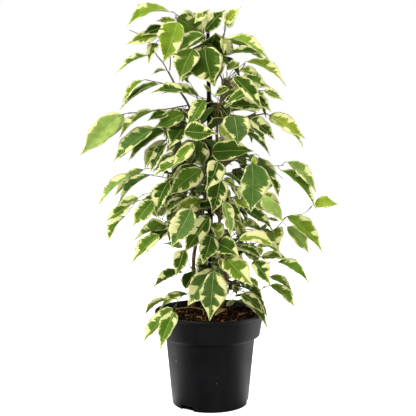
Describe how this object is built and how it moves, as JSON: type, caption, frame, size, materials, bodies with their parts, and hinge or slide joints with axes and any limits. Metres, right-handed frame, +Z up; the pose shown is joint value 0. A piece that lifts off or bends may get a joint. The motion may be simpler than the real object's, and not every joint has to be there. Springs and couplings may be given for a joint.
{
  "type": "weeping fig in a nursery pot",
  "caption": "Variegated weeping fig with cream-edged leaves on slender staked stems, in a round black nursery pot with a deep collar.",
  "frame": {"origin": "middle of the pot's flat foot, on the surface that it stands on", "axes": "+Z up along the stake, -Y towards the viewer of the picture, +X to the viewer's right"},
  "size_m": [0.3805, 0.2266, 0.5986],
  "materials": {
    "pot_plastic": "satin black moulded plastic with faint dust specks",
    "bark_mix": "damp dark peat and bark, rough",
    "stake_plastic": "satin black",
    "bark": "thin smooth reddish-brown bark",
    "leaf": "glossy green blades with ragged cream margins, on green twigs"
  },
  "bodies": {
    "root": {"pot": "pot_plastic", "shoot_back_centre_left": "leaf", "shoot_back_crown_front": "leaf", "shoot_back_crown_right": "leaf", "shoot_back_front_centre": "leaf", "shoot_back_front_centre_low": "leaf", "shoot_back_front_high": "leaf", "shoot_back_front_left_high": "leaf", "shoot_back_front_low_left": "leaf", "shoot_back_front_mid_left": "leaf", "shoot_back_front_right": "leaf", "shoot_back_left_high": "leaf", "shoot_back_left_low": "leaf", "shoot_back_left_low_mid": "leaf", "shoot_back_left_mid": "leaf", "shoot_back_left_outer": "leaf", "shoot_back_low_centre": "leaf", "shoot_back_low_front": "leaf", "shoot_back_low_right": "leaf", "shoot_back_right_arch": "leaf", "shoot_back_right_high": "leaf", "shoot_back_right_mid": "leaf", "shoot_back_rim_right": "leaf", "shoot_centre_left": "leaf", "shoot_crown_front": "leaf", "shoot_crown_left": "leaf", "shoot_crown_right": "leaf", "shoot_crown_top": "leaf", "shoot_front_centre": "leaf", "shoot_front_centre_low": "leaf", "shoot_front_high": "leaf", "shoot_front_left_high": "leaf", "shoot_front_low_left": "leaf", "shoot_front_mid_left": "leaf", "shoot_front_right": "leaf", "shoot_left_crown": "leaf", "shoot_left_high": "leaf", "shoot_left_low": "leaf", "shoot_left_low_mid": "leaf", "shoot_left_mid": "leaf", "shoot_left_outer": "leaf", "shoot_left_top": "leaf", "shoot_low_centre": "leaf", "shoot_low_front": "leaf", "shoot_low_left": "leaf", "shoot_low_right": "leaf", "shoot_right_arch": "leaf", "shoot_right_far": "leaf", "shoot_right_high": "leaf", "shoot_right_mid": "leaf", "shoot_right_outer": "leaf", "shoot_rim_left": "leaf", "shoot_rim_right": "leaf", "shoot_upper_left": "leaf", "shoot_upper_right": "leaf", "soil": "bark_mix", "stake": "stake_plastic", "stem_centre": "bark", "stem_left": "bark", "stem_right": "bark"}
  },
  "joints": []
}
